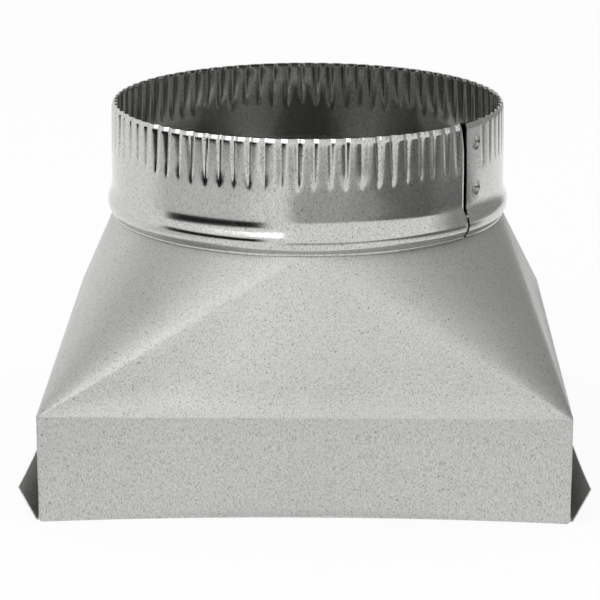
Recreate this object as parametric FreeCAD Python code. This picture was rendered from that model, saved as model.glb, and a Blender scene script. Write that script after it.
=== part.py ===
import FreeCAD, Part
import math
import os

# Square to round duct transition in folded and rolled galvanised sheet.
# Z is the axis of the round collar. The origin is the middle of the square end,
# in the plane of its lower edge. The front is the side that faces -Y.

# Driving dimensions, in millimetres and degrees

# Sheet metal
sheet = 0.55
slip = 0.1

# Square end
base_width = 254.0
base_depth = 254.0
skirt_height = 52.4
fold_radius = 1.2
front_bow = 7.6
side_bow = 4.6
corner_round = 2.2

# Drive cleat flaps, turned out and up along two sides of the square end
flap_length = 17.6
flap_angle = 27.0
flap_bend = 0.8
flap_setback = 2.6
flap_step = 0.2

# Slopes between the square end and the round end
transition_height = 71.2
ring_flat_angle = 1.0
ring_step = 0.3
dish_middle = 1.1
dish_side = 2.3
dish_side_place = 0.72
dish_rise_middle = 6.0
dish_rise_side = 12.0
dish_corner_share = 0.3

# Round collar
collar_diameter = 198.0
collar_height = 56.6
collar_lift = 0.4
bead_foot = 0.8
bead_height = 13.2
bead_bulge = 2.3
bead_crown = 7.0
bead_crown_rise = 0.75
neck_above_middle = 5.0

# Crimped end of the collar
crimp_count = 80
crimp_length = 24.0
crimp_depth = 2.0
crimp_width = 2.0
crimp_tip_width = 0.3
crimp_flank_share = 1.15
crimp_foot_share = 0.18
crimp_taper = 0.4
rim_curl_height = 2.0
rim_curl = 0.8

# Lap seams and the press joints that hold them
lap_width = 14.0
collar_seam_angle = 52.0
collar_seam_gap = 0.7
collar_seam_mouth = 2.2
collar_seam_mouth_length = 12.0
body_seam_gap = 0.4
joint_diameter = 6.4
joint_depth = 1.0
joint_offset = 8.6
lap_end_gap = 1.0
collar_lap_start = 1.4
collar_joint_drops = (10.9, 33.4)
body_joint_heights = (14.0, 38.0, 66.0, 88.0, 110.0)

# Points along each side, bend and corner of an outline, and outlines in each loft
side_points = 12
corner_points = 5
bend_points = 6
skirt_sections = 4
slope_sections = 12
flap_sections = 6

# Joining and cutting: how far shapes run into each other, how far tools run past, and a negligible angle
overlap = 0.2
clear = 1.0
tiny_angle = 1e-6

# Heights and radii that follow from them
ring_height = skirt_height + transition_height
collar_foot = ring_height + collar_lift
collar_top = collar_foot + collar_height
collar_radius = collar_diameter / 2
neck_radius = collar_radius - sheet - slip
bead_middle = collar_foot + bead_foot + bead_height / 2
bead_top = bead_middle + bead_height / 2
neck_top = bead_middle + neck_above_middle
band_foot = bead_top + slip
crimp_foot = collar_top - crimp_length
slope = (base_width / 2 - neck_radius) / transition_height
wall = sheet * math.hypot(1.0, slope)

# Helpers

axis_z = FreeCAD.Vector(0, 0, 1)
origin = FreeCAD.Vector(0, 0, 0)


def vec(x, y, z):
    return FreeCAD.Vector(x, y, z)


def polar(radius, degrees, z):
    """A point at an angle from the front, towards +X."""
    angle = math.radians(degrees)
    return vec(radius * math.sin(angle), -radius * math.cos(angle), z)


def turned(point, degrees):
    """A point turned about the collar's axis."""
    angle = math.radians(degrees)
    x = point.x * math.cos(angle) - point.y * math.sin(angle)
    y = point.x * math.sin(angle) + point.y * math.cos(angle)
    return vec(x, y, point.z)


def steps(first, last, count):
    return [first + (last - first) * i / count for i in range(count + 1)]


def ease(t):
    """Rises smoothly from 0 to 1."""
    t = min(max(t, 0.0), 1.0)
    return t * t * (3 - 2 * t)


def curve(points):
    """A smooth edge through points, evenly timed so that the edges of a loft match."""
    line = Part.BSplineCurve()
    line.interpolate(Points=points, Parameters=steps(0.0, 1.0, len(points) - 1))
    return line.toShape()


def chain(points):
    """Straight edges from point to point."""
    return [Part.makeLine(a, b) for a, b in zip(points, points[1:])]


def closed_solid(faces):
    """One solid from the faces that enclose it."""
    shell = Part.makeShell(faces)
    shell.sewShape()
    solid = Part.makeSolid(shell)
    if solid.Volume < 0:
        solid.reverse()
    return solid


# Transition body: skirt and slopes

def skirt_bow(across, height, bow):
    """How far a wall of the square end leans in: nothing at the fold, most at its lower middle."""
    drop = 1 - height / skirt_height
    return bow * (1 - across ** 2) * drop * abs(drop)


def slope_dish(across, rise):
    """How far a slope is dished in just above the fold. It starts at the corners."""
    side = ease(abs(across) / dish_side_place)
    fade = 1 - ease((abs(across) - dish_side_place) / (1 - dish_side_place))
    depth = (dish_middle + (dish_side - dish_middle) * side) * fade
    spread = side * (dish_corner_share + (1 - dish_corner_share) * fade)
    reach = dish_rise_middle + (dish_rise_side - dish_rise_middle) * spread
    return depth * (rise / reach) * math.exp(1 - rise / reach)


def flat_point(across, z, inset, half_across, half_out, bow):
    """A point on the front side of the outline at height z: across runs from -1 to 1."""
    share = max(z - skirt_height, 0.0) / transition_height
    square = vec(across * (half_across - fold_radius), inset - half_out, 0)
    ring = polar(neck_radius + ring_step - inset, across * ring_flat_angle, 0)
    point = square * (1 - share) + ring * share
    if z <= skirt_height:
        point.y += skirt_bow(across, z, bow)
    else:
        point.y += slope_dish(across, z - skirt_height) * (1 - share)
    point.z = z
    return point


def corner_edge(z, inset, start, end, turn):
    """The corner between two sides of the outline: a tight fold below, a cone above."""
    share = max(z - skirt_height, 0.0) / transition_height
    sign_x = 1 if turn in (0, 90) else -1
    sign_y = -1 if turn in (0, 270) else 1
    fold_middle = vec(sign_x * (base_width / 2 - fold_radius), sign_y * (base_depth / 2 - fold_radius), 0)
    points = []
    for part in steps(0.0, 1.0, corner_points):
        fold = turned(polar(fold_radius - inset, 90 * part, 0), turn) + fold_middle
        ring_angle = ring_flat_angle + (90 - 2 * ring_flat_angle) * part
        ring = turned(polar(neck_radius + ring_step - inset, ring_angle, 0), turn)
        point = fold * (1 - share) + ring * share
        point.z = z
        points.append(point)
    points[0] = start
    points[-1] = end
    return curve(points)


def body_outline(z, inset):
    """The closed outline of the body at height z, on its outer skin or inset from it."""
    turns = (0, 90, 180, 270)
    sides = []
    for turn in turns:
        faces_y = turn in (0, 180)
        half_across = (base_width if faces_y else base_depth) / 2
        half_out = (base_depth if faces_y else base_width) / 2
        bow = front_bow if faces_y else side_bow
        points = [flat_point(a, z, inset, half_across, half_out, bow) for a in steps(-1.0, 1.0, side_points)]
        sides.append([turned(point, turn) for point in points])
    edges = []
    for i, turn in enumerate(turns):
        edges.append(curve(sides[i]))
        edges.append(corner_edge(z, inset, sides[i][-1], sides[(i + 1) % 4][0], turn))
    return Part.Wire(edges)


def folded_shell(outer_inset, inner_inset):
    """The skirt and the slopes between two skins, open at both ends."""
    skirt_heights = steps(0.0, skirt_height, skirt_sections)
    slope_heights = steps(skirt_height, ring_height, slope_sections)
    faces = []
    for inset in (outer_inset, inner_inset):
        for heights in (skirt_heights, slope_heights):
            faces += Part.makeLoft([body_outline(z, inset) for z in heights], False).Faces
    for z in (0.0, ring_height):
        rims = [body_outline(z, outer_inset), body_outline(z, inner_inset)]
        faces.append(Part.makeFace(rims, "Part::FaceMakerBullseye"))
    return closed_solid(faces)


# Bead, shared by the neck and the collar

def bead_points(depth):
    """The corners of the bead's outline, on a skin that lies a depth inside the collar's face."""
    lean = math.atan2(bead_bulge - bead_crown_rise, (bead_height - bead_crown) / 2)
    shift = depth * math.tan(lean / 2)
    foot = (collar_radius - depth, bead_height / 2 - shift)
    shoulder = (collar_radius + bead_bulge - bead_crown_rise - depth, bead_crown / 2 - shift)
    return foot, shoulder


def turned_wall(depth, foot, head, round_outside):
    """A beaded wall turned about the axis. It lies a depth inside the collar's face."""
    edges = []
    for skin in (depth, depth + sheet):
        root, shoulder = bead_points(skin)
        low = [vec(collar_radius - skin, 0, foot), vec(root[0], 0, bead_middle - root[1]),
               vec(shoulder[0], 0, bead_middle - shoulder[1])]
        high = [vec(shoulder[0], 0, bead_middle + shoulder[1]), vec(root[0], 0, bead_middle + root[1]),
                vec(collar_radius - skin, 0, head)]
        crown = vec(collar_radius + bead_bulge - skin, 0, bead_middle)
        edges += chain(low) + chain(high)
        if round_outside and skin == depth:
            edges.append(Part.Arc(low[-1], crown, high[0]).toShape())
        else:
            edges += chain([low[-1], crown, high[0]])
    for z in (foot, head):
        edges += chain([vec(collar_radius - depth, 0, z), vec(collar_radius - depth - sheet, 0, z)])
    face = Part.Face(Part.Wire(Part.__sortEdges__(edges)))
    return face.revolve(origin, axis_z, 360)


def neck():
    """The body's round end, locked into the collar's bead."""
    wall_to_band = turned_wall(sheet + slip, ring_height, band_foot, False)
    return wall_to_band.common(Part.makeCylinder(2 * collar_radius, neck_top))


# Drive cleat flaps

def flap_outline(y):
    """The section of the +X flap at y: down from the wall, round the bend, up and out."""
    half_across = base_depth / 2 - fold_radius
    bend_z = flap_bend + sheet
    wall_x = base_width / 2 - skirt_bow(y / half_across, bend_z, side_bow) - flap_step
    turns = [math.radians(angle) for angle in steps(180, 360 - flap_angle, bend_points)]
    inside = [vec(wall_x + flap_bend + flap_bend * math.cos(turn), y, bend_z + flap_bend * math.sin(turn))
              for turn in turns]
    radius = flap_bend + sheet
    outside = [vec(wall_x + flap_bend + radius * math.cos(turn), y, bend_z + radius * math.sin(turn))
               for turn in turns]
    lean = math.radians(flap_angle)
    along = vec(math.sin(lean), 0, math.cos(lean)) * flap_length
    points = inside + [inside[-1] + along, outside[-1] + along] + outside[::-1]
    return Part.makePolygon(points + points[:1])


def with_flaps(body):
    """The body with its side walls ending in the flaps, and its lower corners rounded off."""
    half = base_depth / 2 - flap_setback
    bend_z = flap_bend + sheet
    flap = Part.makeLoft([flap_outline(y) for y in steps(-half, half, flap_sections)], True)
    reach = 2 * side_bow
    room = Part.makeBox(reach + clear, 2 * half, bend_z + clear, vec(base_width / 2 - reach, -half, -clear))
    corner_box = Part.makeBox(corner_round + clear, flap_setback + clear, corner_round + clear)
    corner_box.translate(vec(base_width / 2 - corner_round, -base_depth / 2 - clear, -clear))
    corner_rod = Part.makeCylinder(corner_round, flap_setback + clear, origin, vec(0, 1, 0))
    corner_rod.translate(vec(base_width / 2 - corner_round, -base_depth / 2 - clear, corner_round))
    corner = corner_box.cut(corner_rod)
    corners = []
    for sign_x in (0, 1):
        for sign_y in (0, 1):
            tool = corner.mirror(origin, vec(1, 0, 0)) if sign_x else corner
            corners.append(tool.mirror(origin, vec(0, 1, 0)) if sign_y else tool)
    trimmed = body.cut([room, room.mirror(origin, vec(1, 0, 0))] + corners)
    return trimmed.fuse([flap, flap.mirror(origin, vec(1, 0, 0))])


# Press joints

def joint_tools(place, outward):
    """A press joint: the dent to cut outside, and the button that it raises inside."""
    radius = (joint_diameter ** 2 / 4 + joint_depth ** 2) / (2 * joint_depth)
    outward.normalize()
    middle = place + outward * (radius - joint_depth)
    dent = Part.makeSphere(radius, middle)
    inside = Part.makeCylinder(2 * radius, 2 * radius, place - outward * sheet, outward * -1)
    button = Part.makeSphere(radius + 2 * sheet, middle).common(inside)
    return dent, button


# Transition body

def back_point(x, z):
    """A point on the back of the body's outer skin, and the way out of it."""
    reach = []
    for height in (z, z + 1):
        half_flat = (base_width / 2 - fold_radius) * (1 - max(height - skirt_height, 0) / transition_height)
        across = max(min(x / max(half_flat, x), 1.0), -1.0)
        point = flat_point(across, height, 0.0, base_width / 2, base_depth / 2, front_bow)
        reach.append(-point.y)
    return vec(x, reach[0], z), vec(0, 1, reach[0] - reach[1])


def body_lap():
    """The layer of the body's own lap seam that lies inside, down the middle of the back."""
    layer = folded_shell(wall - overlap, wall + sheet)
    height = ring_height - 2 * lap_end_gap
    strip = Part.makeBox(lap_width, base_depth, height, vec(-body_seam_gap, 0, lap_end_gap))
    return layer.common(strip)


def transition_body():
    body = with_flaps(folded_shell(0.0, wall)).fuse(neck())
    seam = Part.makeBox(body_seam_gap, base_depth, ring_height, vec(-body_seam_gap / 2, 0, -clear))
    body = body.cut(seam).fuse(body_lap())
    for height in body_joint_heights:
        dent, button = joint_tools(*back_point(lap_width / 2, height))
        body = body.fuse(button).cut(dent)
    return body


# Round collar

def wedge(outer_radius, foot, head, width, tip_width, depth):
    """A flat sided wedge along the axis: full at its head, and a small share of that at its foot."""
    rings = []
    for z, share, drawn in ((foot, crimp_foot_share, 0.0), (head, 1.0, crimp_taper)):
        half = width / 2 * share
        tip = tip_width / 2 * share
        outer = outer_radius + overlap * share - drawn
        inner = outer_radius - depth * share - drawn
        rings.append([vec(-half, -outer, z), vec(half, -outer, z), vec(tip, -inner, z), vec(-tip, -inner, z)])
    low, high = rings
    loops = [low, high]
    for i in range(4):
        j = (i + 1) % 4
        loops.append([low[i], low[j], high[j], high[i]])
    return closed_solid([Part.Face(Part.makePolygon(loop + loop[:1])) for loop in loops])


def crimped_strip():
    """One crimp's share of the wall above the bead: a narrow strip, with its groove."""
    pitch = 360 / crimp_count
    inner_radius = collar_radius - sheet
    curl_foot = collar_top - rim_curl_height
    outline = []
    for radius in (collar_radius, inner_radius):
        drawn = radius - crimp_taper
        outline.append([vec(radius, 0, band_foot), vec(radius, 0, crimp_foot), vec(drawn, 0, curl_foot),
                        vec(drawn - rim_curl, 0, collar_top)])
    loop = outline[0] + outline[1][::-1]
    strip = Part.Face(Part.makePolygon(loop + loop[:1])).revolve(origin, axis_z, pitch)
    strip.rotate(origin, axis_z, -90 - pitch / 2)
    flank = sheet * crimp_flank_share
    groove = wedge(collar_radius, crimp_foot, collar_top + clear, crimp_width, crimp_tip_width, crimp_depth)
    ridge = wedge(inner_radius, crimp_foot, collar_top, crimp_width + flank, crimp_tip_width + flank,
                  crimp_depth)
    return strip.fuse(ridge).cut(groove)


def crimped_end():
    """The plain band and the crimped end, from one strip repeated round the axis."""
    pitch = 360 / crimp_count
    side = math.radians(pitch / 2)
    kept = []
    for face in crimped_strip().Faces:
        middle = face.CenterOfMass
        angle = math.atan2(middle.x, -middle.y)
        if abs(abs(angle) - side) > tiny_angle:
            kept.append(face)
    faces = []
    for i in range(crimp_count):
        for face in kept:
            copy = face.copy()
            copy.rotate(origin, axis_z, i * pitch)
            faces.append(copy)
    return closed_solid(faces)


def collar_seam():
    """The gap at the outer edge of the collar's lap seam. It opens into a wedge at the rim."""
    half = collar_seam_gap / 2
    mouth_foot = collar_top - collar_seam_mouth_length
    near = collar_radius - crimp_taper - crimp_depth - 2 * sheet
    far = collar_radius + bead_bulge + clear
    slot = Part.makeBox(2 * half, far - near, collar_height + 2 * clear,
                        vec(-half, -far, collar_foot - clear))
    corners = [vec(-half, -far, mouth_foot), vec(-collar_seam_mouth, -far, collar_top + clear),
               vec(half, -far, collar_top + clear), vec(half, -far, mouth_foot)]
    mouth = Part.Face(Part.makePolygon(corners + corners[:1])).extrude(vec(0, far - near, 0))
    seam = slot.fuse(mouth)
    seam.rotate(origin, axis_z, collar_seam_angle)
    return seam


def collar_lap():
    """The end of the strip that lies under the seam, above the bead."""
    outer = collar_radius - sheet + overlap
    inner = collar_radius - 2 * sheet
    span = math.degrees(lap_width / collar_radius)
    curl_foot = collar_top - rim_curl_height
    sides = []
    for radius in (inner, outer):
        drawn = radius - crimp_taper
        sides.append([vec(radius, 0, band_foot), vec(radius, 0, crimp_foot), vec(drawn, 0, curl_foot),
                      vec(drawn - rim_curl, 0, collar_top)])
    corners = sides[0] + sides[1][::-1]
    lap = Part.Face(Part.makePolygon(corners + corners[:1])).revolve(origin, axis_z, span)
    lap.rotate(origin, axis_z, collar_seam_angle - 90 - math.degrees(collar_lap_start / collar_radius))
    return lap


def round_collar():
    bead = turned_wall(0.0, collar_foot, band_foot, True)
    collar = bead.fuse(crimped_end())
    collar = collar.cut(collar_seam()).fuse(collar_lap())
    joint_angle = collar_seam_angle + math.degrees(joint_offset / collar_radius)
    for drop in collar_joint_drops:
        place = polar(collar_radius, joint_angle, collar_top - drop)
        dent, button = joint_tools(place, polar(1.0, joint_angle, 0))
        collar = collar.fuse(button).cut(dent)
    return collar


# Files

os.makedirs("parts", exist_ok=True)
for name, shape in (("transition_body", transition_body()), ("round_collar", round_collar())):
    print(name, shape.ShapeType, shape.isValid(), len(shape.Solids), round(shape.Volume))
    shape.exportStep(f"parts/{name}.step")
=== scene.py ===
import math
import random

import bmesh
import bpy
from bpy.props import FloatProperty, FloatVectorProperty, IntProperty, PointerProperty, StringProperty
from mathutils import Euler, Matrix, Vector


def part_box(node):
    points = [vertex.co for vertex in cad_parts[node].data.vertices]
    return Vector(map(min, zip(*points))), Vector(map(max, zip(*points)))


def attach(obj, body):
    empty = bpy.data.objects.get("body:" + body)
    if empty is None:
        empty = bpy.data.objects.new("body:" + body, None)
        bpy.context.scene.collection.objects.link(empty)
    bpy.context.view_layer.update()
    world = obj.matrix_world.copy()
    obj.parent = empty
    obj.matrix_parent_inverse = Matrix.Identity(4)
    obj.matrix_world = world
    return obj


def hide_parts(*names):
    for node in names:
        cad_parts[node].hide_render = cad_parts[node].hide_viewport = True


bl_info = {
    "name": "Duct transition piece",
    "version": (1, 0, 0),
    "blender": (4, 5, 0),
    "location": "View3D > Sidebar > Duct",
    "description": "Dresses a square to round duct transition in galvanised sheet and sets its stage",
    "category": "Object",
}

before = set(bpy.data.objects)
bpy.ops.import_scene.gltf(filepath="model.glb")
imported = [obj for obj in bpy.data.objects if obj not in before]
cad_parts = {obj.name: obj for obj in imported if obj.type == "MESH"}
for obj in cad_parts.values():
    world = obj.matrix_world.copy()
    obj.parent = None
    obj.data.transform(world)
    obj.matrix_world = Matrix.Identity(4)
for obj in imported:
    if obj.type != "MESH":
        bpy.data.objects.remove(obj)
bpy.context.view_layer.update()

MM = 0.001
BODY = "transition_body"
COLLAR = "round_collar"
collar_low, collar_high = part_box(COLLAR)

WHITE = "#FFFFFF"

# The mesh attribute of painted shade, which blackens the sheet in the open seam and darkens it in the press
# joints
PAINTED_SHADE = "painted_shade"

# The mesh attribute that fades a card's border, and how many parts a card has each way
SOFT_EDGE = "soft_edge"
CARD_PARTS = 8

# The zinc's pattern, as levels of its noise: the grain's darkest, middle and lightest tones, a pit's dark
# floor and its edge, and the brightest and dullest clouds
GRAIN_LEVELS = (0.32, 0.46, 0.66)
PIT_LEVELS = (0.27, 0.33)
CLOUD_LEVELS = (0.3, 0.7)

# What the darkest painted shade leaves of the sheet's colour
PAINTED_SHADE_TONE = 0.03

# Fineness of the collar: steps in each round corner, cuts in the band, in the crimps and round a press joint,
# columns in each crimp, and how strongly these gather at the grooves, where 0 spreads them evenly
ROUND_STEPS = 6
BAND_CUTS = 6
CRIMP_CUTS = 11
JOINT_CUTS = 3
CRIMP_COLUMNS = 10
COLUMN_GATHER = 0.6

# What rounding takes off the bead's sharp crown
BEAD_CUT = 0.22 * MM

# Crimps left out at the lap seam, counted from it, and the seed of the small differences between crimps
PLAIN_CRIMPS = (0, 1)
CRIMP_SEED = 7

# A groove's floor as a share of its half width, and its depth at its foot as a share of its depth at the rim
GROOVE_FLOOR = 0.1
FOOT_DEPTH = 0.22

# How far up the crimps, as a share of their length, a groove has the depth of its foot and a ridge its crown
FOOT_RISE = 0.06
RIDGE_RISE = 0.25

# Places across the seam, in channel widths past the strip's first edge: how far before it the columns move,
# where the wall steps down into the channel, and where it comes back out under the first edge
SEAM_ZONE = 6
STEP_DOWN = (-1.25, -0.9)
STEP_BACK = (1, 3)

# Places in a press joint, in radii: the zone with finer columns, the end of the joint, and the middle and
# width of its lip and of the painted shade inside it
JOINT_ZONE = 1.65
JOINT_END = 1.3
JOINT_LIP = (1.08, 0.10)
JOINT_PAINTED_SHADE = (0.85, 0.14)

# The lip's height as a share of the joint's depth, and how dark the painted shade in a joint is
LIP_HEIGHT = 0.06
JOINT_SHADE_STRENGTH = 0.6

# How near two heights count as the same, and the angle from which an edge is sharp
NEAR = 0.001 * MM
SHARP_ANGLE = math.radians(50)

# The fibre of studio paper, drawn coarser than it is so that it can show, and its strength and depth
FIBRE_WIDTH = 3 * MM
FIBRE_STRENGTH = 0.2
FIBRE_DEPTH = 0.05 * MM

# The camera's sensor in millimetres, as wide as its lens is given for, and how far it sees in metres
SENSOR_WIDTH = 36
CAMERA_REACH = 100

# The lamps' places, as distance from the axis, angle from the front to the right and height, and their target
TOP_LIGHT_PLACE = (0.35, math.radians(-40), 1.35)
STRIP_LIGHT_PLACE = (1.3, math.radians(-38), 0.87)
LAMP_TARGET = (0, 0, 0.1)

# Studio cards that only metal sees: name, width and height, middle, turn in degrees, and colour
CARDS = (
    # Darkens the collar to the right of its front
    ("low_card_right", (1.75, 1.20), (1.13, -0.35, 0.002), (0, 0, 0), "#747474"),
    # Shades the right edge of the body and the collar
    ("tall_card_right", (1.6, 1.00), (0.65, 0.55, 0.475), (90, 0, 90), "#A8A8A8"),
    # Greys the front of the collar a little
    ("low_card_front", (0.56, 0.80), (0.14, -0.78, 0.001), (0, 0, 0), "#B6B6B6"),
    # Takes the glare off the left of the collar
    ("low_card_left", (1.05, 1.40), (-0.825, -0.60, 0.001), (0, 0, 0), "#DCDCDC"),
    # Draws the dark bands at the left of the collar, in its bead and its crimps
    ("strip_card_left", (1.40, 0.40), (-0.83, -0.62, 0.16), (90, 0, -53), "#101010"),
    # Darkens what the inside of the collar mirrors of the floor
    ("low_card_inside", (0.25, 0.25), (0, 0, 0.001), (0, 0, 0), "#6C6C6C"),
    # Darken the right cone, and less so the slopes and the left cone
    ("ceiling_card_right", (1.9, 3.8), (1.75, 0, 1.6), (180, 0, 0), "#989898"),
    ("ceiling_card_left", (1.7, 3.8), (-1.15, 0, 1.6), (180, 0, 0), "#D0D0D0"),
)


# Small helpers

def linear(hex_colour):
    """A colour written as sRGB hex, turned to the linear values that shaders use."""
    values = []
    for start in (1, 3, 5):
        value = int(hex_colour[start:start + 2], 16) / 255
        values.append(value / 12.92 if value <= 0.04045 else ((value + 0.055) / 1.055) ** 2.4)
    return (*values, 1.0)


def add_node(tree, kind, inputs=None, stops=(), **settings):
    """Adds a node.

    Each input takes a value, or a socket to be linked from. Stops are a ramp's places and colours.
    """
    made = tree.nodes.new(kind)
    for name, value in settings.items():
        setattr(made, name, value)
    for number, (place, colour) in enumerate(stops):
        elements = made.color_ramp.elements
        element = elements[number] if number < len(elements) else elements.new(place)
        element.position = place
        element.color = linear(colour)
    for name, value in (inputs or {}).items():
        if isinstance(value, bpy.types.NodeSocket):
            tree.links.new(value, made.inputs[name])
        else:
            made.inputs[name].default_value = value
    return made


def smooth_step(value, low, high):
    """Rises smoothly from 0 at low to 1 at high."""
    share = min(max((value - low) / (high - low), 0.0), 1.0)
    return share * share * (3 - 2 * share)


def new_object(name, bm, material):
    """A finished mesh object from a bmesh."""
    mesh = bpy.data.meshes.new(name)
    bm.to_mesh(mesh)
    bm.free()
    made = bpy.data.objects.new(name, mesh)
    bpy.context.scene.collection.objects.link(made)
    mesh.materials.append(material)
    return made


# Materials

def new_material(name):
    """An empty material, its node tree and the output's surface socket."""
    material = bpy.data.materials.new(name)
    material.use_nodes = True
    tree = material.node_tree
    tree.nodes.clear()
    output = add_node(tree, "ShaderNodeOutputMaterial")
    return material, tree, output.inputs["Surface"]


def galvanised_sheet(name, sizes, bright, dull, grain_depth):
    """Hot dip galvanised steel sheet: a zinc skin with a fine rolled grain.

    To the eye it is a soft grey metal with short streaks along the rolling direction, faint
    clouds in its sheen, a scatter of dark pits, and colour that stays almost neutral. Bright and
    dull are the roughness of the clouds. The mesh's painted shade attribute, from 0 to 1, blackens
    the sheet with painted shade in the open seam's channel and in the press joints.
    """
    material, tree, surface = new_material(name)
    place = add_node(tree, "ShaderNodeTexCoord").outputs["Object"]
    across = 1 / sizes.grain_width
    along = 1 / sizes.grain_length
    streaked = add_node(tree, "ShaderNodeMapping", {"Vector": place, "Scale": (across, across, along)})
    grain = add_node(tree, "ShaderNodeTexNoise", {
        "Vector": streaked.outputs["Vector"], "Scale": 1.0, "Detail": 3.0, "Roughness": 0.6,
    }).outputs["Fac"]
    clouds = add_node(tree, "ShaderNodeTexNoise", {
        "Vector": place, "Scale": 1 / sizes.cloud_width, "Detail": 2.0, "Roughness": 0.5,
    }).outputs["Fac"]
    pits = add_node(tree, "ShaderNodeTexNoise", {
        "Vector": place, "Scale": 1 / sizes.pit_spacing, "Detail": 1.0, "Roughness": 0.5,
    }).outputs["Fac"]
    tones = (sizes.dark_tone, sizes.middle_tone, sizes.light_tone)
    sheet_tone = add_node(tree, "ShaderNodeValToRGB", {"Fac": grain}, stops=tuple(zip(GRAIN_LEVELS, tones)))
    pit_tone = add_node(
        tree, "ShaderNodeValToRGB", {"Fac": pits}, stops=tuple(zip(PIT_LEVELS, (sizes.pit_tone, WHITE))))
    unshaded = add_node(tree, "ShaderNodeVectorMath", {
        0: sheet_tone.outputs["Color"], 1: pit_tone.outputs["Color"],
    }, operation="MULTIPLY")
    # Painted shade: the attribute darkens the colour in the seam and the press joints, standing in for their
    # shadow
    painted_shade = add_node(tree, "ShaderNodeAttribute", attribute_name=PAINTED_SHADE)
    kept = add_node(tree, "ShaderNodeMapRange", {
        "Value": painted_shade.outputs["Fac"], "To Min": 1.0, "To Max": PAINTED_SHADE_TONE,
    })
    colour = add_node(tree, "ShaderNodeVectorMath", {
        0: unshaded.outputs["Vector"], "Scale": kept.outputs["Result"],
    }, operation="SCALE")
    roughness = add_node(tree, "ShaderNodeMapRange", {
        "Value": clouds, "From Min": CLOUD_LEVELS[0], "From Max": CLOUD_LEVELS[1],
        "To Min": bright, "To Max": dull,
    })
    bump = add_node(tree, "ShaderNodeBump", {
        "Height": grain, "Strength": 1.0, "Distance": grain_depth,
    })
    shader = add_node(tree, "ShaderNodeBsdfPrincipled", {
        "Base Color": colour.outputs["Vector"],
        "Roughness": roughness.outputs["Result"],
        "Normal": bump.outputs["Normal"],
        "Metallic": 1.0,
    })
    tree.links.new(shader.outputs["BSDF"], surface)
    return material


class DuctSheetSettings(bpy.types.PropertyGroup):
    """Grain, colours and sheen of the galvanised sheet."""
    grain_width: FloatProperty(
        name="Grain width", description="Width of a streak of the rolled grain",
        default=0.38 * MM, unit="LENGTH")
    grain_length: FloatProperty(
        name="Grain length", description="Length of a streak of the rolled grain",
        default=1.5 * MM, unit="LENGTH")
    cloud_width: FloatProperty(
        name="Cloud width", description="Size of the clouds in the sheen",
        default=38 * MM, unit="LENGTH")
    pit_spacing: FloatProperty(
        name="Pit spacing", description="Distance between the dark pits in the zinc",
        default=0.8 * MM, unit="LENGTH")
    dark_tone: StringProperty(
        name="Dark tone", description="Darkest colour of the grain", default="#9C9D9A")
    middle_tone: StringProperty(
        name="Middle tone", description="Main colour of the sheet", default="#C4C5C2")
    light_tone: StringProperty(
        name="Light tone", description="Lightest colour of the grain", default="#D6D7D4")
    pit_tone: StringProperty(
        name="Pit tone", description="What a pit's floor leaves of the colour", default="#9A9A98")
    body_dull: FloatProperty(
        name="Body, dull", description="Roughness of the body's sheet where it is dullest",
        default=0.48, subtype="FACTOR", min=0, max=1)
    body_bright: FloatProperty(
        name="Body, bright", description="Roughness of the body's sheet where it is brightest",
        default=0.40, subtype="FACTOR", min=0, max=1)
    body_grain_depth: FloatProperty(
        name="Body grain depth", description="Depth of the grain on the body",
        default=0.02 * MM, unit="LENGTH")
    collar_dull: FloatProperty(
        name="Collar, dull", description="Roughness of the collar's sheet where it is dullest",
        default=0.16, subtype="FACTOR", min=0, max=1)
    collar_bright: FloatProperty(
        name="Collar, bright", description="Roughness of the collar's sheet where it is brightest",
        default=0.09, subtype="FACTOR", min=0, max=1)
    collar_grain_depth: FloatProperty(
        name="Collar grain depth", description="Depth of the grain on the collar",
        default=0.01 * MM, unit="LENGTH")


# Transition body

class DUCT_OT_transition_body(bpy.types.Operator):
    """Gives the folded body its dull galvanised finish."""
    bl_idname = "duct.transition_body"
    bl_label = "Transition body"

    def execute(self, context):
        sheet = context.scene.duct_sheet
        finish = galvanised_sheet(
            "galvanised_sheet_dull", sheet,
            sheet.body_bright, sheet.body_dull, sheet.body_grain_depth)
        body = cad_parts[BODY]
        for slot in body.material_slots:
            slot.material = finish
        return {"FINISHED"}


# Round collar

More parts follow.
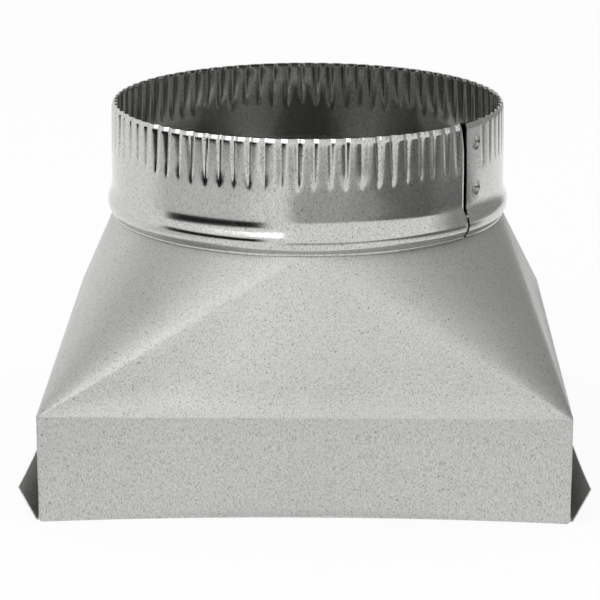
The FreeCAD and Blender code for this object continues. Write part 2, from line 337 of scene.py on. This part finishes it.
class DuctCollarSettings(bpy.types.PropertyGroup):
    """Sizes of the rolled collar."""
    sheet: FloatProperty(
        name="Sheet", description="Thickness of the sheet", default=0.55 * MM, unit="LENGTH")
    bead_bulge: FloatProperty(
        name="Bead bulge", description="How far the bead stands out", default=2.3 * MM, unit="LENGTH")
    bead_height: FloatProperty(
        name="Bead height", description="Height of the bead", default=13.2 * MM, unit="LENGTH")
    bead_foot: FloatProperty(
        name="Bead foot", description="Plain wall below the bead", default=0.8 * MM, unit="LENGTH")
    bead_foot_bend: FloatProperty(
        name="Bead foot bend", description="Reach of the bend where the bead starts",
        default=0.5 * MM, unit="LENGTH")
    bead_shoulder: FloatProperty(
        name="Bead shoulder", description="How far the lower shoulder stands out, as a share of the bulge",
        default=0.8, subtype="FACTOR", min=0, max=1)
    bead_shoulder_height: FloatProperty(
        name="Bead shoulder height", description="Height of the lower shoulder above the start of the bead",
        default=2.8 * MM, unit="LENGTH")
    bead_shoulder_bend: FloatProperty(
        name="Bead shoulder bend", description="Reach of the lower shoulder's bend along each side",
        default=1.2 * MM, unit="LENGTH")
    bead_crown: FloatProperty(
        name="Bead crown", description="Reach of the round crown along each flank",
        default=2.2 * MM, unit="LENGTH")
    bead_top_bend: FloatProperty(
        name="Bead top bend", description="Reach of the bend where the bead meets the band",
        default=3.2 * MM, unit="LENGTH")
    crimp_count: IntProperty(
        name="Crimps", description="Number of crimps round the end", default=80)
    crimp_length: FloatProperty(
        name="Crimp length", description="Length of the crimped end", default=24 * MM, unit="LENGTH")
    crimp_depth: FloatProperty(
        name="Crimp depth", description="Depth of a full groove at the rim", default=1.35 * MM, unit="LENGTH")
    crimp_depth_least: FloatProperty(
        name="Least depth", description="Depth of the shallowest groove, as a share of a full one",
        default=0.35, subtype="FACTOR", min=0, max=1)
    crimp_depth_spread: FloatProperty(
        name="Depth spread", description="How much deeper the deepest groove is, as a share of a full one",
        default=0.55, subtype="FACTOR", min=0, max=1)
    crimp_wander: FloatProperty(
        name="Crimp wander", description="How far a groove may stand from its place, across and at its foot",
        default=0.4 * MM, unit="LENGTH")
    crimp_width: FloatProperty(
        name="Crimp width", description="Width of a groove at the rim", default=4.6 * MM, unit="LENGTH")
    crimp_foot_width: FloatProperty(
        name="Crimp foot width", description="Width of a groove at its foot", default=2.8 * MM, unit="LENGTH")
    crimp_taper: FloatProperty(
        name="Crimp taper", description="How far the crimped end is drawn in at the rim",
        default=0.4 * MM, unit="LENGTH")
    ridge_crown: FloatProperty(
        name="Ridge crown", description="How far a ridge between two grooves is crowned",
        default=0.25 * MM, unit="LENGTH")
    ridge_tilt: FloatProperty(
        name="Ridge tilt", description="How unevenly the ridges lie", default=0.10 * MM, unit="LENGTH")
    rim_curl: FloatProperty(
        name="Rim curl", description="How far the rim leans in", default=0.8 * MM, unit="LENGTH")
    rim_curl_height: FloatProperty(
        name="Rim curl height", description="Height of the rim that leans in",
        default=2.0 * MM, unit="LENGTH")
    rim_curl_bend: FloatProperty(
        name="Rim curl bend", description="Reach of the bend where the rim starts to lean in",
        default=0.8 * MM, unit="LENGTH")
    lap: FloatProperty(
        name="Lap", description="How far the strip's inner end runs under its outer end",
        default=14 * MM, unit="LENGTH")
    lap_clearance: FloatProperty(
        name="Lap clearance", description="Gap between the two layers of the lap",
        default=0.1375 * MM, unit="LENGTH")
    seam_angle: FloatProperty(
        name="Seam angle", description="Place of the lap seam, from the front towards the right",
        default=math.radians(52), subtype="ANGLE")
    seam_gap: FloatProperty(
        name="Seam gap", description="Width of the open channel along the seam",
        default=1.5 * MM, unit="LENGTH")
    seam_depth: FloatProperty(
        name="Seam depth", description="Depth of the channel along the band", default=1.6 * MM, unit="LENGTH")
    seam_bead_depth: FloatProperty(
        name="Seam depth at the bead", description="Depth of the channel below the top of the bead",
        default=0.44 * MM, unit="LENGTH")
    seam_bead_fade: FloatProperty(
        name="Seam fade at the bead", description="Height below the bead's top where the channel deepens",
        default=1.6 * MM, unit="LENGTH")
    seam_mouth: FloatProperty(
        name="Seam mouth", description="How much wider the channel is at the rim",
        default=1.9 * MM, unit="LENGTH")
    seam_mouth_depth: FloatProperty(
        name="Seam mouth depth", description="How much deeper the channel is at the rim",
        default=0.8 * MM, unit="LENGTH")
    seam_mouth_length: FloatProperty(
        name="Seam mouth length", description="Distance below the rim where the channel starts to widen",
        default=13 * MM, unit="LENGTH")
    joint_width: FloatProperty(
        name="Press joint width", description="Width of a press joint", default=6.4 * MM, unit="LENGTH")
    joint_depth: FloatProperty(
        name="Press joint depth", description="Depth of a press joint", default=1.2 * MM, unit="LENGTH")
    joint_offset: FloatProperty(
        name="Press joint offset", description="Distance of the press joints from the seam",
        default=8.6 * MM, unit="LENGTH")
    joint_drops: FloatVectorProperty(
        name="Press joint drops", description="Distances of the two press joints below the rim",
        size=2, default=(10.9 * MM, 33.4 * MM), unit="LENGTH")


def rounded(corners):
    """An outline through corners of (out, height, reach).

    Each corner is rounded from a reach before it to a reach after it. A reach of 0 keeps it sharp.
    """
    points = []
    for i, (out, height, reach) in enumerate(corners):
        corner = Vector((0, out, height))
        if not reach:
            points.append(corner)
            continue
        ends = []
        for neighbour in (corners[i - 1], corners[i + 1]):
            way = Vector((0, neighbour[0], neighbour[1])) - corner
            ends.append(corner + way.normalized() * reach)
        for step in range(ROUND_STEPS + 1):
            share = step / ROUND_STEPS
            left = 1 - share
            points.append(left ** 2 * ends[0] + 2 * share * left * corner + share ** 2 * ends[1])
    return points


def wall_section(sizes, foot, rim):
    """The strip's edge, stood up: plain foot, bead, plain band, crimped end and rim. Y is outwards."""
    bead_low = foot + sizes.bead_foot
    bead_high = bead_low + sizes.bead_height
    bead_middle = (bead_low + bead_high) / 2
    shoulder_out = sizes.bead_shoulder * sizes.bead_bulge
    crimp_foot = rim - sizes.crimp_length
    curl_foot = rim - sizes.rim_curl_height
    bm = bmesh.new()
    outline = [bm.verts.new(point) for point in rounded([
        (0, foot, 0),
        (0, bead_low, sizes.bead_foot_bend),
        (shoulder_out, bead_low + sizes.bead_shoulder_height, sizes.bead_shoulder_bend),
        (sizes.bead_bulge + BEAD_CUT, bead_middle, sizes.bead_crown),
        (0, bead_high, sizes.bead_top_bend),
        (0, crimp_foot, 0),
        (0, curl_foot, sizes.rim_curl_bend),
        (-sizes.rim_curl, rim, 0),
    ])]
    edges = [bm.edges.new(pair) for pair in zip(outline, outline[1:])]
    band = next(edge for edge in edges if abs(edge.verts[1].co.z - crimp_foot) < NEAR)
    crimped = next(edge for edge in edges if abs(edge.verts[0].co.z - crimp_foot) < NEAR)
    for edge, cuts in ((band, BAND_CUTS), (crimped, CRIMP_CUTS)):
        bmesh.ops.subdivide_edges(bm, edges=[edge], cuts=cuts)
    return bm


def crimp_columns(bm, pitch):
    """Draws the strip's columns together at the grooves, where the form needs them."""
    for vert in bm.verts:
        turn = 2 * math.pi * vert.co.x / pitch
        vert.co.x -= COLUMN_GATHER * pitch * math.sin(turn) / (2 * math.pi)


def press_crimps(bm, sizes, rim, pitch):
    """Presses the grooves in, each deeper and wider from its foot to the rim, with crowned ridges between."""
    chance = random.Random(CRIMP_SEED)
    crimps = range(sizes.crimp_count)
    wander = sizes.crimp_wander
    foot_shift = [chance.uniform(-wander, wander) for _ in crimps]
    place_shift = [chance.uniform(-wander, wander) for _ in crimps]
    depth_share = [sizes.crimp_depth_least + sizes.crimp_depth_spread * chance.random() ** 2 for _ in crimps]
    ridge_tilt = [chance.uniform(-1, 1) * sizes.ridge_tilt for _ in crimps]
    crimp_foot = rim - sizes.crimp_length
    for vert in bm.verts:
        groove_number = round(vert.co.x / pitch)
        number = groove_number % sizes.crimp_count
        rise = (vert.co.z - crimp_foot - foot_shift[number]) / sizes.crimp_length
        if rise <= 0:
            continue
        vert.co.y -= sizes.crimp_taper * rise
        if number in PLAIN_CRIMPS:
            continue
        offset = vert.co.x - pitch * groove_number
        half = (sizes.crimp_foot_width + (sizes.crimp_width - sizes.crimp_foot_width) * rise) / 2
        groove = 1 - smooth_step(abs(offset - place_shift[number]), GROOVE_FLOOR * half, half)
        deepening = FOOT_DEPTH * smooth_step(rise, 0, FOOT_RISE) + (1 - FOOT_DEPTH) * rise
        depth = sizes.crimp_depth * depth_share[number] * deepening
        ridge_number = math.floor(vert.co.x / pitch)
        across = 2 * (vert.co.x / pitch - ridge_number) - 1
        tilt = ridge_tilt[ridge_number % sizes.crimp_count]
        ridge = sizes.ridge_crown * across ** 2 + tilt * math.sin(math.pi * across)
        vert.co.y -= groove * depth + min(rise / RIDGE_RISE, 1.0) * ridge


def lap_ends(bm, sizes, foot, rim, length):
    """Steps the strip's last stretch down before its first edge, and runs it under.

    The channel between them is shallow down to the foot from the top of the bead, where the body's neck
    stands behind it. It widens and deepens into a mouth at the rim. Its stepped-down wall is blackened with
    painted shade, standing in for the shadow in the gap.
    """
    gap = sizes.seam_gap
    reach = SEAM_ZONE * gap
    layer = sizes.sheet + sizes.lap_clearance
    shallow = sizes.seam_bead_depth
    bead_high = foot + sizes.bead_foot + sizes.bead_height
    painted_shade = bm.verts.layers.float.new(PAINTED_SHADE)
    for vert in bm.verts:
        past = vert.co.x - length
        if past <= -reach:
            continue
        opening = smooth_step(vert.co.z, rim - sizes.seam_mouth_length, rim)
        edge = gap + sizes.seam_mouth * opening
        full_depth = sizes.seam_depth + sizes.seam_mouth_depth * opening
        clear_of_neck = smooth_step(vert.co.z, bead_high - sizes.seam_bead_fade, bead_high)
        depth = shallow + (full_depth - shallow) * clear_of_neck
        if past < -gap:
            vert.co.x = length - reach + (reach + past) * (reach - edge) / (reach - gap)
        elif past < 0:
            vert.co.x = length + past * edge / gap
        step_down = smooth_step(past, STEP_DOWN[0] * gap, STEP_DOWN[1] * gap)
        step_back = smooth_step(past, STEP_BACK[0] * gap, STEP_BACK[1] * gap)
        vert.co.y -= depth * step_down - (depth - layer) * step_back
        # Painted shade: the wall stepped down into the channel is blackened, standing in for the seam's
        # shadow
        vert[painted_shade] = step_down


def ring(share, middle, width):
    """1 on a ring round a joint's centre, and fades smoothly to both sides."""
    return math.exp(-((share - middle) / width) ** 2)


def press_joints(bm, sizes, rim, length):
    """Presses the round joints through both layers of the lap: a dish with a low lip round it, and a ring of
    painted shade inside the dish.
    """
    centres = [(start + sizes.joint_offset, rim - drop)
               for start in (0, length) for drop in sizes.joint_drops]
    radius = sizes.joint_width / 2
    painted_shade = bm.verts.layers.float[PAINTED_SHADE]
    for x, z in centres:
        near = [edge for edge in bm.edges
                if all(max(abs(v.co.x - x), abs(v.co.z - z)) < JOINT_ZONE * radius for v in edge.verts)]
        bmesh.ops.subdivide_edges(bm, edges=near, cuts=JOINT_CUTS, use_grid_fill=True)
        for vert in bm.verts:
            share = math.hypot(vert.co.x - x, vert.co.z - z) / radius
            if share < JOINT_END:
                # Painted shade: a dark ring inside the dish, standing in for its shadow
                vert[painted_shade] = JOINT_SHADE_STRENGTH * ring(share, *JOINT_PAINTED_SHADE)
                dish = max(0.0, 1 - share ** 2)
                vert.co.y += sizes.joint_depth * (LIP_HEIGHT * ring(share, *JOINT_LIP) - dish)


def roll_up(bm, radius, start_angle):
    """Rolls the flat strip round the axis."""
    for vert in bm.verts:
        angle = start_angle + vert.co.x / radius
        reach = radius + vert.co.y
        vert.co.x = reach * math.sin(angle)
        vert.co.y = -reach * math.cos(angle)


def thicken(bm, sheet):
    """Points the strip's faces outwards and gives it the sheet's thickness. The inner skin gets no painted
    shade.
    """
    bmesh.ops.recalc_face_normals(bm, faces=bm.faces[:])
    rightmost = max(bm.faces, key=lambda face: face.calc_center_median().x)
    if rightmost.normal.x < 0:
        bmesh.ops.reverse_faces(bm, faces=bm.faces[:])
    inner_skin = bmesh.ops.solidify(bm, geom=bm.faces[:], thickness=sheet)["geom"]
    painted_shade = bm.verts.layers.float[PAINTED_SHADE]
    for part in inner_skin:
        if isinstance(part, bmesh.types.BMVert):
            part[painted_shade] = 0.0


class DUCT_OT_round_collar(bpy.types.Operator):
    """Makes the collar from one strip: beaded, crimped, lapped and rolled."""
    bl_idname = "duct.round_collar"
    bl_label = "Round collar"

    def execute(self, context):
        sizes = context.scene.duct_collar
        sheet = context.scene.duct_sheet
        foot, rim = collar_low[2], collar_high[2]
        radius = collar_high[0] - sizes.bead_bulge
        length = 2 * math.pi * radius
        pitch = length / sizes.crimp_count
        columns = round((length + sizes.lap) / pitch * CRIMP_COLUMNS)

        bm = wall_section(sizes, foot, rim)
        bmesh.ops.spin(
            bm, geom=bm.verts[:] + bm.edges[:], cent=(0, 0, 0), axis=(0, 0, 1),
            dvec=((length + sizes.lap) / columns, 0, 0), angle=0, steps=columns, use_merge=False)
        crimp_columns(bm, pitch)
        press_crimps(bm, sizes, rim, pitch)
        lap_ends(bm, sizes, foot, rim, length)
        press_joints(bm, sizes, rim, length)
        roll_up(bm, radius, sizes.seam_angle)
        thicken(bm, sizes.sheet)
        for face in bm.faces:
            face.smooth = True

        finish = galvanised_sheet(
            "galvanised_sheet_bright", sheet,
            sheet.collar_bright, sheet.collar_dull, sheet.collar_grain_depth)
        collar = new_object("round_collar_sheet", bm, finish)
        collar.data.set_sharp_from_angle(angle=SHARP_ANGLE)
        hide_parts(COLLAR)
        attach(collar, "root")
        return {"FINISHED"}


# Stage

class DuctStageSettings(bpy.types.PropertyGroup):
    """Camera, lamps and backdrop."""
    lens: FloatProperty(
        name="Lens", description="Focal length in millimetres, for a 36 mm wide sensor", default=166.4)
    distance: FloatProperty(
        name="Camera distance", description="From the camera to its target", default=1.426, unit="LENGTH")
    elevation: FloatProperty(
        name="Camera elevation", description="Height of the camera above the horizon",
        default=math.radians(15.56), subtype="ANGLE")
    azimuth: FloatProperty(
        name="Camera azimuth", description="Turn of the camera about the object, towards the right",
        default=math.radians(0.8), subtype="ANGLE")
    target: FloatVectorProperty(
        name="Target", description="The point that the camera looks at",
        default=(-3.8 * MM, 0, 75.1 * MM), subtype="XYZ", unit="LENGTH")
    floor_width: FloatProperty(
        name="Floor width", description="Width of the floor", default=14.0, unit="LENGTH")
    floor_colour: StringProperty(
        name="Floor colour", description="Colour of the floor's paper", default="#F6F6F6")
    paper_glow: FloatProperty(
        name="Paper glow", description="Share of the floor that the camera and metal see as plain white",
        default=0.9, subtype="FACTOR", min=0, max=1)
    sky_strength: FloatProperty(
        name="Surround", description="Strength of the white surround on dull things", default=0.85)
    top_light: FloatProperty(
        name="Top light", description="Power of the soft light overhead, in watts", default=1.9)
    top_light_size: FloatProperty(
        name="Top light size", description="Width of the soft light overhead", default=0.4, unit="LENGTH")
    strip_light: FloatProperty(
        name="Strip light", description="Power of the long soft light at the front left, in watts",
        default=2.8)
    strip_width: FloatProperty(
        name="Strip light width", description="Width of the long soft light", default=1.2, unit="LENGTH")
    strip_height: FloatProperty(
        name="Strip light height", description="Height of the long soft light", default=0.36, unit="LENGTH")


def around(distance, angle, height):
    """A place round the object, at an angle from the front towards the right."""
    return Vector((distance * math.sin(angle), -distance * math.cos(angle), height))


def aim(thing, target):
    """Turns a camera or lamp to face a point."""
    thing.rotation_euler = (Vector(target) - thing.location).to_track_quat("-Z", "Y").to_euler()


def soft_light(name, shape, width, height, power, place):
    """A soft lamp that faces the object. A disk is as high as it is wide."""
    lamp = bpy.data.objects.new(name, bpy.data.lights.new(name, "AREA"))
    lamp.data.shape = shape
    lamp.data.size = width
    lamp.data.size_y = height
    lamp.data.energy = power
    lamp.location = place
    aim(lamp, LAMP_TARGET)
    bpy.context.scene.collection.objects.link(lamp)


def set_camera(stage):
    """A long lens at the photograph's angle."""
    camera = bpy.data.objects.new("camera", bpy.data.cameras.new("camera"))
    camera.data.lens = stage.lens
    camera.data.sensor_width = SENSOR_WIDTH
    camera.data.clip_end = CAMERA_REACH
    target = Vector(stage.target)
    level = stage.distance * math.cos(stage.elevation)
    camera.location = target + around(level, stage.azimuth, stage.distance * math.sin(stage.elevation))
    aim(camera, target)
    bpy.context.scene.collection.objects.link(camera)
    bpy.context.scene.camera = camera


def seen_directly(tree):
    """1 for camera, glossy and transmission rays, and 0 for the rays that light dull things."""
    rays = add_node(tree, "ShaderNodeLightPath").outputs
    seen = rays["Is Camera Ray"]
    for other in ("Is Glossy Ray", "Is Transmission Ray"):
        seen = add_node(tree, "ShaderNodeMath", {0: seen, 1: rays[other]}, operation="MAXIMUM").outputs[0]
    return seen


def set_surround(stage):
    """A white surround, which the camera, metal and glass see at full strength."""
    world = bpy.data.worlds.new("white_surround")
    world.use_nodes = True
    tree = world.node_tree
    tree.nodes.clear()
    strength = add_node(tree, "ShaderNodeMapRange", {
        "Value": seen_directly(tree), "To Min": stage.sky_strength, "To Max": 1.0,
    })
    light = add_node(tree, "ShaderNodeBackground", {
        "Color": linear(WHITE), "Strength": strength.outputs["Result"],
    })
    output = add_node(tree, "ShaderNodeOutputWorld")
    tree.links.new(light.outputs[0], output.inputs["Surface"])
    bpy.context.scene.world = world


def paper(name, colour, glow):
    """Matt studio paper: even and without gloss, with a barely visible fibre.

    Glow is the share that is seen as plain white. A mesh with the soft edge attribute, which is 1 at
    its border and 0 inside, fades out towards that border.
    """
    material, tree, surface = new_material(name)
    place = add_node(tree, "ShaderNodeTexCoord").outputs["Object"]
    fibre = add_node(tree, "ShaderNodeTexNoise", {"Vector": place, "Scale": 1 / FIBRE_WIDTH, "Detail": 2.0})
    bump = add_node(tree, "ShaderNodeBump", {
        "Height": fibre.outputs["Fac"], "Strength": FIBRE_STRENGTH, "Distance": FIBRE_DEPTH,
    })
    matt = add_node(tree, "ShaderNodeBsdfDiffuse", {
        "Color": linear(colour), "Normal": bump.outputs["Normal"],
    })
    white = add_node(tree, "ShaderNodeEmission", {"Color": linear(WHITE), "Strength": 1.0})
    share = add_node(tree, "ShaderNodeMath", {0: seen_directly(tree), 1: glow}, operation="MULTIPLY")
    mixed = add_node(tree, "ShaderNodeMixShader", {
        0: share.outputs[0], 1: matt.outputs["BSDF"], 2: white.outputs["Emission"],
    })
    edge = add_node(tree, "ShaderNodeAttribute", attribute_name=SOFT_EDGE)
    nothing = add_node(tree, "ShaderNodeBsdfTransparent")
    faded = add_node(tree, "ShaderNodeMixShader", {
        0: edge.outputs["Fac"], 1: mixed.outputs[0], 2: nothing.outputs["BSDF"],
    })
    tree.links.new(faded.outputs[0], surface)
    return material


def card(name, size, place, turn, colour):
    """A studio card that only metal sees: it shades reflections, and no camera or dull thing."""
    bm = bmesh.new()
    bmesh.ops.create_grid(bm, x_segments=CARD_PARTS, y_segments=CARD_PARTS, size=0.5)
    soft_edge = bm.verts.layers.float.new(SOFT_EDGE)
    for vert in bm.verts:
        vert[soft_edge] = float(vert.is_boundary)
    bmesh.ops.scale(bm, vec=(*size, 1), verts=bm.verts)
    bmesh.ops.rotate(bm, matrix=Euler([math.radians(angle) for angle in turn]).to_matrix(), verts=bm.verts)
    bmesh.ops.translate(bm, vec=place, verts=bm.verts)
    made = new_object(name, bm, paper(name + "_paper", colour, 0.0))
    made.visible_camera = False
    made.visible_diffuse = False
    made.visible_shadow = False


class DUCT_OT_stage(bpy.types.Operator):
    """Sets the floor, the cards, the lamps, the surround and the camera."""
    bl_idname = "duct.stage"
    bl_label = "Stage"

    def execute(self, context):
        stage = context.scene.duct_stage
        bm = bmesh.new()
        bmesh.ops.create_grid(bm, x_segments=1, y_segments=1, size=stage.floor_width / 2)
        new_object("floor", bm, paper("white_studio_paper", stage.floor_colour, stage.paper_glow))
        for name, size, place, turn, colour in CARDS:
            card(name, size, place, turn, colour)
        soft_light(
            "top_light", "DISK", stage.top_light_size, stage.top_light_size, stage.top_light,
            around(*TOP_LIGHT_PLACE))
        soft_light(
            "strip_light", "RECTANGLE", stage.strip_width, stage.strip_height, stage.strip_light,
            around(*STRIP_LIGHT_PLACE))
        set_surround(stage)
        set_camera(stage)
        context.scene.view_settings.view_transform = "Standard"
        return {"FINISHED"}


# Panel and registration

class DUCT_PT_panel(bpy.types.Panel):
    """Lists the pieces and the stage."""
    bl_label = "Duct transition piece"
    bl_idname = "DUCT_PT_panel"
    bl_space_type = "VIEW_3D"
    bl_region_type = "UI"
    bl_category = "Duct"

    def draw(self, context):
        for operator in (DUCT_OT_transition_body, DUCT_OT_round_collar, DUCT_OT_stage):
            self.layout.operator(operator.bl_idname)


CLASSES = (
    DuctSheetSettings, DuctCollarSettings, DuctStageSettings,
    DUCT_OT_transition_body, DUCT_OT_round_collar, DUCT_OT_stage, DUCT_PT_panel,
)


def register():
    for cls in CLASSES:
        bpy.utils.register_class(cls)
    bpy.types.Scene.duct_sheet = PointerProperty(type=DuctSheetSettings)
    bpy.types.Scene.duct_collar = PointerProperty(type=DuctCollarSettings)
    bpy.types.Scene.duct_stage = PointerProperty(type=DuctStageSettings)


def unregister():
    del bpy.types.Scene.duct_stage
    del bpy.types.Scene.duct_collar
    del bpy.types.Scene.duct_sheet
    for cls in reversed(CLASSES):
        bpy.utils.unregister_class(cls)


def main():
    register()
    bpy.ops.duct.transition_body()
    bpy.ops.duct.round_collar()
    bpy.ops.duct.stage()


if __name__ == "__main__":
    main()
